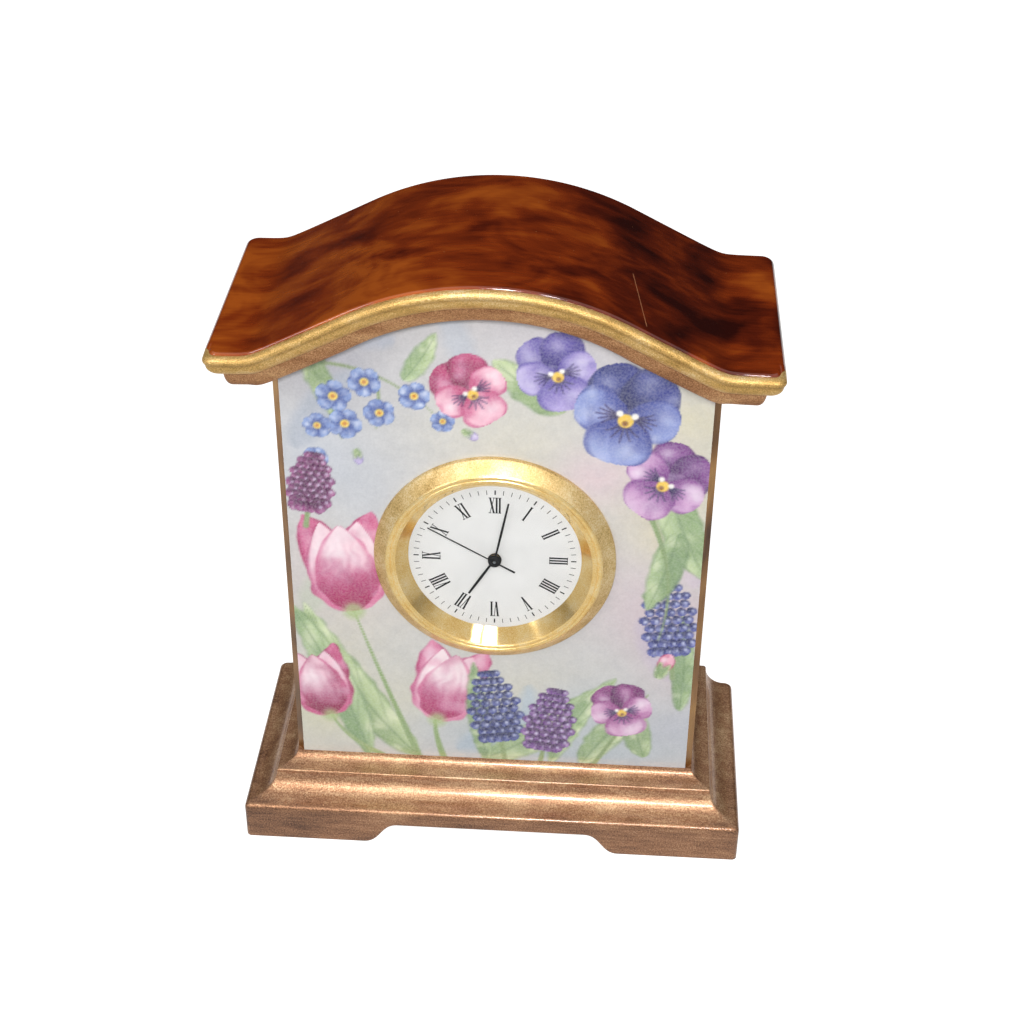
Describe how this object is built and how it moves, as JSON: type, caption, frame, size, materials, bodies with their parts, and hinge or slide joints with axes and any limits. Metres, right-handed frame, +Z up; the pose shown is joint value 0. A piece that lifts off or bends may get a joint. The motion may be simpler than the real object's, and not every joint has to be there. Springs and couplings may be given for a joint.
{
  "type": "porcelain mantel clock",
  "caption": "Small glazed porcelain mantel clock with an arched roof, painted upright body, moulded base on bracket feet and a press-in quartz insert with a working wheel train.",
  "frame": {"origin": "centre of the footprint, on the surface that the feet stand on", "axes": "+Z up along the height, the dial faces -Y, +X to the right of someone reading the dial"},
  "size_m": [0.079, 0.0362, 0.1007],
  "materials": {
    "roof_glaze": "glossy brown wood-like glaze with gilded edges",
    "painted_porcelain": "painted and glazed porcelain with gilded upright edges",
    "gold_lustre": "worn gold lustre over glazed porcelain",
    "gilt_brass": "satin and polished gilt",
    "brass": "plain brass",
    "clear_lens": "clear flat lens",
    "dial_paper": "white printed dial",
    "black_hands": "black painted hands",
    "rubber": "black moulded rubber",
    "natural_plastic": "natural moulded plastic",
    "steel": "plain steel",
    "copper_wire": "enamelled copper winding",
    "circuit_green": "green circuit board",
    "chip_black": "black resin"
  },
  "bodies": {
    "case": {"roof_cap": "roof_glaze", "case_body": "painted_porcelain", "base_plinth": "gold_lustre"},
    "insert": {"insert_bezel": "gilt_brass", "crystal": "clear_lens", "reflector_ring": "gilt_brass", "dial": "dial_paper", "insert_cup": "brass", "retaining_band": "rubber", "movement_holder": "natural_plastic", "back_cover": "steel", "main_plate": "natural_plastic", "train_bridge": "natural_plastic", "bridge_screw_1": "steel", "bridge_screw_2": "steel", "bridge_screw_3": "steel", "clamp_screw_1": "steel", "clamp_screw_2": "steel", "stator_screw_1": "steel", "stator_screw_2": "steel", "stator": "steel", "coil_core": "steel", "drive_coil": "copper_wire", "button_cell": "steel", "cell_clamp": "brass", "circuit_board": "circuit_green", "quartz_can": "steel", "timing_chip": "chip_black"},
    "seconds": {"seconds_wheel": "steel", "second_hand": "black_hands"},
    "third": {"third_wheel": "natural_plastic"},
    "minute": {"centre_wheel": "brass", "cannon_pinion": "brass", "minute_hand": "black_hands"},
    "motion": {"minute_wheel": "natural_plastic"},
    "hour": {"hour_wheel": "brass", "hour_hand": "black_hands"},
    "intermediate": {"intermediate_wheel": "natural_plastic"},
    "rotor": {"rotor": "steel"},
    "stem": {"winding_stem": "steel"},
    "crown": {"crown": "brass"}
  },
  "joints": [
    {"name": "insert_pull", "type": "slide", "parent": "case", "child": "insert", "axis": [0, -1, 0], "range_m": [0, 0.012]},
    {"name": "second_hand_turn", "type": "hinge", "parent": "insert", "child": "seconds", "pos_m": [0, -0.0102, 0.052], "axis": [0, 1, 0], "continuous": true},
    {"name": "third_wheel_turn", "type": "hinge", "parent": "insert", "child": "third", "pos_m": [-0.00377, -0.0102, 0.05266], "axis": [0, 1, 0], "continuous": true},
    {"name": "minute_hand_turn", "type": "hinge", "parent": "insert", "child": "minute", "pos_m": [0, -0.0102, 0.052], "axis": [0, 1, 0], "continuous": true},
    {"name": "minute_wheel_turn", "type": "hinge", "parent": "insert", "child": "motion", "pos_m": [0.00306, -0.0102, 0.04943], "axis": [0, 1, 0], "continuous": true},
    {"name": "hour_hand_turn", "type": "hinge", "parent": "insert", "child": "hour", "pos_m": [0, -0.0102, 0.052], "axis": [0, 1, 0], "continuous": true},
    {"name": "intermediate_wheel_turn", "type": "hinge", "parent": "insert", "child": "intermediate", "pos_m": [0.00198, -0.0102, 0.05543], "axis": [0, 1, 0], "continuous": true},
    {"name": "rotor_turn", "type": "hinge", "parent": "insert", "child": "rotor", "pos_m": [0.00137, -0.0102, 0.05888], "axis": [0, 1, 0], "continuous": true},
    {"name": "crown_pull", "type": "slide", "parent": "insert", "child": "stem", "axis": [1, 0, 0], "range_m": [0, 0.001]},
    {"name": "crown_turn", "type": "hinge", "parent": "stem", "child": "crown", "pos_m": [0.014, -0.0048, 0.052], "axis": [1, 0, 0], "continuous": true}
  ],
  "couplings": [
    {"joint": "third_wheel_turn", "follows": "second_hand_turn", "ratio": -0.13333},
    {"joint": "minute_hand_turn", "follows": "second_hand_turn", "ratio": 0.016667},
    {"joint": "minute_wheel_turn", "follows": "second_hand_turn", "ratio": -0.0055556},
    {"joint": "hour_hand_turn", "follows": "second_hand_turn", "ratio": 0.0013889},
    {"joint": "intermediate_wheel_turn", "follows": "second_hand_turn", "ratio": -5},
    {"joint": "rotor_turn", "follows": "second_hand_turn", "ratio": 30}
  ]
}
